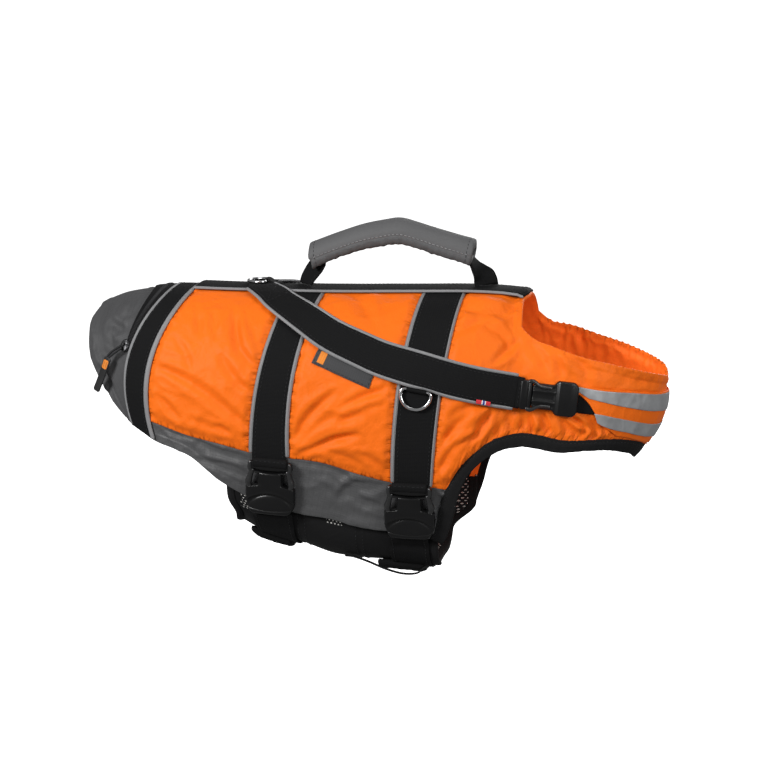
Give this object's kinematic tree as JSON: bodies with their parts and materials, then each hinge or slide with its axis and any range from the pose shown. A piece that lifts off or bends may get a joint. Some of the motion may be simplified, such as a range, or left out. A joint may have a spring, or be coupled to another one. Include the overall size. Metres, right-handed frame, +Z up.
{
  "type": "dog life jacket",
  "caption": "Orange foam life jacket for a dog, filled out as worn, with webbing bands, side-release buckles, a padded back handle and open neck, legs and tail.",
  "frame": {"origin": "inside of the shell on the spine, where the wearer's back carries the jacket, between the two feet of the handle", "axes": "+X towards the head, +Y towards the dog's left, +Z up"},
  "size_m": [0.5786, 0.2194, 0.3501],
  "materials": {
    "orange_nylon": "satin nylon with a fine weave",
    "grey_ripstop": "matt ripstop nylon",
    "sleeve_grey": "matt padded nylon",
    "black_webbing": "matt woven webbing",
    "black_neoprene": "matt neoprene with a knit face",
    "reflective_piping": "grey reflective piping",
    "reflective_tape": "silver-grey reflective tape",
    "black_plastic": "glossy moulded acetal",
    "steel": "polished stainless steel",
    "label_grey": "bare woven label",
    "flag_red": "woven tag"
  },
  "bodies": {
    "jacket": {"back_ring_loop": "black_webbing", "belly_binding_front": "black_webbing", "belly_binding_rear": "black_webbing", "belly_panel": "black_neoprene", "belly_strap_front": "black_webbing", "belly_strap_rear": "black_webbing", "chest_flap": "orange_nylon", "chest_webbing_L": "black_webbing", "chest_webbing_R": "black_webbing", "elastic_loop": "black_webbing", "flag_tag": "flag_red", "front_panel_L": "orange_nylon", "front_panel_R": "orange_nylon", "girth_band_front": "black_webbing", "girth_band_front_piping_aft": "reflective_piping", "girth_band_front_piping_fore": "reflective_piping", "girth_band_rear": "black_webbing", "girth_band_rear_piping_aft": "reflective_piping", "girth_band_rear_piping_fore": "reflective_piping", "girth_buckle_front_L": "black_plastic", "girth_buckle_front_R": "black_plastic", "girth_buckle_rear_L": "black_plastic", "girth_buckle_rear_R": "black_plastic", "handle_sleeve": "sleeve_grey", "handle_webbing": "black_webbing", "label": "label_grey", "leg_binding_L": "black_webbing", "leg_binding_R": "black_webbing", "lower_panel_L": "grey_ripstop", "lower_panel_R": "grey_ripstop", "mid_panel_L": "orange_nylon", "mid_panel_R": "orange_nylon", "rear_band": "black_webbing", "rear_band_piping_aft": "reflective_piping", "rear_band_piping_fore": "reflective_piping", "rear_panel_L": "orange_nylon", "rear_panel_R": "orange_nylon", "shoulder_buckle_L": "black_plastic", "shoulder_buckle_R": "black_plastic", "shoulder_strap_L": "black_webbing", "shoulder_strap_R": "black_webbing", "side_ring_loop": "black_webbing", "spine_band": "black_webbing", "spine_piping_L": "reflective_piping", "spine_piping_R": "reflective_piping", "strap_piping_lower_L": "reflective_piping", "strap_piping_lower_R": "reflective_piping", "strap_piping_upper_L": "reflective_piping", "strap_piping_upper_R": "reflective_piping", "strap_tail_front": "black_webbing", "strap_tail_rear": "black_webbing", "tail_panel": "grey_ripstop", "tape_lower": "reflective_tape", "tape_upper": "reflective_tape", "zip_slider": "steel", "zip_tape": "black_webbing"},
    "side_ring": {"side_ring": "steel"},
    "back_ring": {"back_ring": "steel"},
    "zip_pull": {"zip_pull": "black_plastic"}
  },
  "joints": [
    {"name": "side_ring_hinge", "type": "hinge", "parent": "jacket", "child": "side_ring", "pos_m": [0.04705, -0.10384, -0.07929], "axis": [-0.986, 0.0163, 0.1662], "range_deg": [0, 60]},
    {"name": "back_ring_hinge", "type": "hinge", "parent": "jacket", "child": "back_ring", "pos_m": [-0.119, 0, 0.01045], "axis": [0, 1, 0], "range_deg": [0, 160]},
    {"name": "zip_pull_hinge", "type": "hinge", "parent": "jacket", "child": "zip_pull", "pos_m": [-0.25107, -0.07458, -0.04874], "axis": [-0.7306, 0.4663, 0.4989], "range_deg": [0, 100]}
  ]
}
